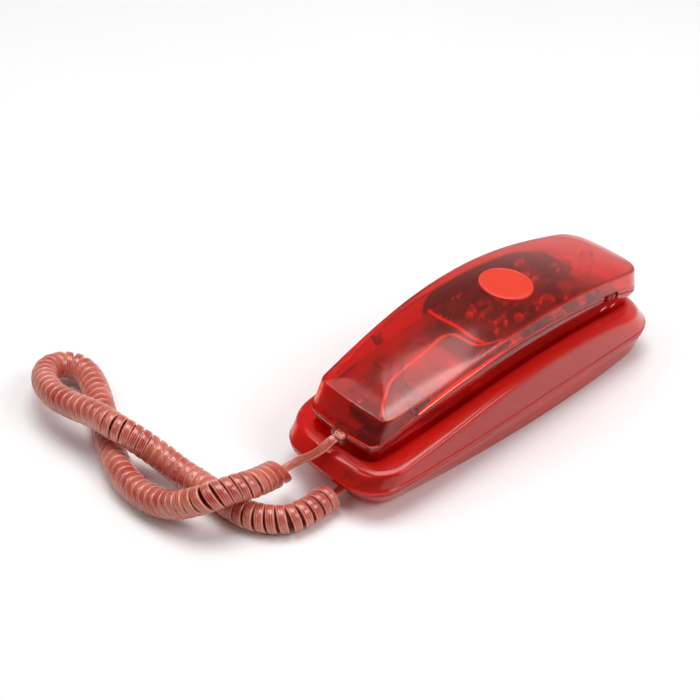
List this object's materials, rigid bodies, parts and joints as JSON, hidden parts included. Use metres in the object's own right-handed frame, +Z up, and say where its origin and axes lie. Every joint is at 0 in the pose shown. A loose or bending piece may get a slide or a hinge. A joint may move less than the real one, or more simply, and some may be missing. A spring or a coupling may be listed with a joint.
{
  "type": "wall telephone",
  "caption": "Slimline wall telephone in translucent plastic: a keypad handset lying face down in its cradle base, with a curly cord between them and the electronics showing through.",
  "frame": {"origin": "on the floor under the middle of the base, cord left out", "axes": "+Y along the phone from the cord end to the earpiece end, +X to the right seen from the cord end, +Z up out of the cradle"},
  "size_m": [0.2037, 0.2897, 0.0649],
  "materials": {
    "red_shell": "gloss, translucent",
    "red_deep": "gloss, translucent",
    "red_badge": "satin",
    "cord_red": "satin, translucent jacket",
    "clear_plug": "clear",
    "black_plastic": "matte",
    "circuit_board": "satin laminate",
    "steel": "satin",
    "brass": "satin",
    "key_white": "satin",
    "rubber": "matte",
    "cream_plastic": "satin",
    "orange_plastic": "satin"
  },
  "bodies": {
    "base": {"base_bottom_shell": "red_deep", "connector_cover": "red_deep", "base_top_shell": "red_shell", "rubber_foot_1": "rubber", "rubber_foot_2": "rubber", "rubber_foot_3": "rubber", "rubber_foot_4": "rubber", "base_cord_jack": "black_plastic", "line_jack": "black_plastic", "ballast_plate": "steel", "terminal_board": "circuit_board", "jack_link_cable": "cream_plastic", "base_screw_1": "steel", "base_screw_2": "steel", "base_cord_plug": "clear_plug", "base_cord_lead": "cord_red", "curly_cord_coil": "cord_red", "handset_cord_lead": "cord_red"},
    "handset": {"handset_back_shell": "red_shell", "handset_face_shell": "red_deep", "back_badge": "red_badge", "handset_cord_plug": "clear_plug", "handset_jack": "black_plastic", "dialler_chip": "black_plastic", "bridge_rectifier": "black_plastic", "hook_switch": "black_plastic", "ringer_switch": "black_plastic", "receiver_capsule": "black_plastic", "main_circuit_board": "circuit_board", "handset_screw_1": "steel", "handset_screw_2": "steel", "handset_weight": "steel", "crystal_can": "steel", "microphone_capsule": "steel", "sounder_disc": "brass", "keypad_membrane": "rubber", "microphone_boot": "rubber", "jack_wires": "cream_plastic", "microphone_wires": "cream_plastic", "receiver_wires": "cream_plastic", "resistor_1": "cream_plastic", "resistor_2": "cream_plastic", "filter_capacitor": "orange_plastic", "bulk_capacitor": "orange_plastic"},
    "key_0": {"key_0": "key_white"},
    "key_1": {"key_1": "key_white"},
    "key_2": {"key_2": "key_white"},
    "key_3": {"key_3": "key_white"},
    "key_4": {"key_4": "key_white"},
    "key_5": {"key_5": "key_white"},
    "key_6": {"key_6": "key_white"},
    "key_7": {"key_7": "key_white"},
    "key_8": {"key_8": "key_white"},
    "key_9": {"key_9": "key_white"},
    "key_star": {"key_star": "key_white"},
    "key_hash": {"key_hash": "key_white"},
    "redial_key": {"redial_key": "key_white"},
    "flash_key": {"flash_key": "key_white"},
    "hook_plunger": {"hook_plunger": "key_white"},
    "ringer_slider": {"ringer_slider": "key_white"}
  },
  "joints": [
    {"name": "handset_lift", "type": "slide", "parent": "base", "child": "handset", "axis": [0, 0, 1], "range_m": [0, 0.07], "deforming": ["handset_cord_lead"]},
    {"name": "key_0_press", "type": "slide", "parent": "handset", "child": "key_0", "axis": [0, 0, 1], "range_m": [0, 0.0012], "stiffness_N_per_m": 400},
    {"name": "key_1_press", "type": "slide", "parent": "handset", "child": "key_1", "axis": [0, 0, 1], "range_m": [0, 0.0012], "stiffness_N_per_m": 400},
    {"name": "key_2_press", "type": "slide", "parent": "handset", "child": "key_2", "axis": [0, 0, 1], "range_m": [0, 0.0012], "stiffness_N_per_m": 400},
    {"name": "key_3_press", "type": "slide", "parent": "handset", "child": "key_3", "axis": [0, 0, 1], "range_m": [0, 0.0012], "stiffness_N_per_m": 400},
    {"name": "key_4_press", "type": "slide", "parent": "handset", "child": "key_4", "axis": [0, 0, 1], "range_m": [0, 0.0012], "stiffness_N_per_m": 400},
    {"name": "key_5_press", "type": "slide", "parent": "handset", "child": "key_5", "axis": [0, 0, 1], "range_m": [0, 0.0012], "stiffness_N_per_m": 400},
    {"name": "key_6_press", "type": "slide", "parent": "handset", "child": "key_6", "axis": [0, 0, 1], "range_m": [0, 0.0012], "stiffness_N_per_m": 400},
    {"name": "key_7_press", "type": "slide", "parent": "handset", "child": "key_7", "axis": [0, 0, 1], "range_m": [0, 0.0012], "stiffness_N_per_m": 400},
    {"name": "key_8_press", "type": "slide", "parent": "handset", "child": "key_8", "axis": [0, 0, 1], "range_m": [0, 0.0012], "stiffness_N_per_m": 400},
    {"name": "key_9_press", "type": "slide", "parent": "handset", "child": "key_9", "axis": [0, 0, 1], "range_m": [0, 0.0012], "stiffness_N_per_m": 400},
    {"name": "key_star_press", "type": "slide", "parent": "handset", "child": "key_star", "axis": [0, 0, 1], "range_m": [0, 0.0012], "stiffness_N_per_m": 400},
    {"name": "key_hash_press", "type": "slide", "parent": "handset", "child": "key_hash", "axis": [0, 0, 1], "range_m": [0, 0.0012], "stiffness_N_per_m": 400},
    {"name": "redial_key_press", "type": "slide", "parent": "handset", "child": "redial_key", "axis": [0, 0, 1], "range_m": [0, 0.0012], "stiffness_N_per_m": 400},
    {"name": "flash_key_press", "type": "slide", "parent": "handset", "child": "flash_key", "axis": [0, 0, 1], "range_m": [0, 0.0012], "stiffness_N_per_m": 400},
    {"name": "hook_plunger_travel", "type": "slide", "parent": "handset", "child": "hook_plunger", "axis": [0, 0, -1], "range_m": [0, 0.003]},
    {"name": "ringer_slide", "type": "slide", "parent": "handset", "child": "ringer_slider", "axis": [0, 0.9648, -0.2631], "range_m": [-0.003, 0.003]}
  ],
  "couplings": [
    {"joint": "hook_plunger_travel", "follows": "handset_lift", "ratio": 0.04}
  ]
}
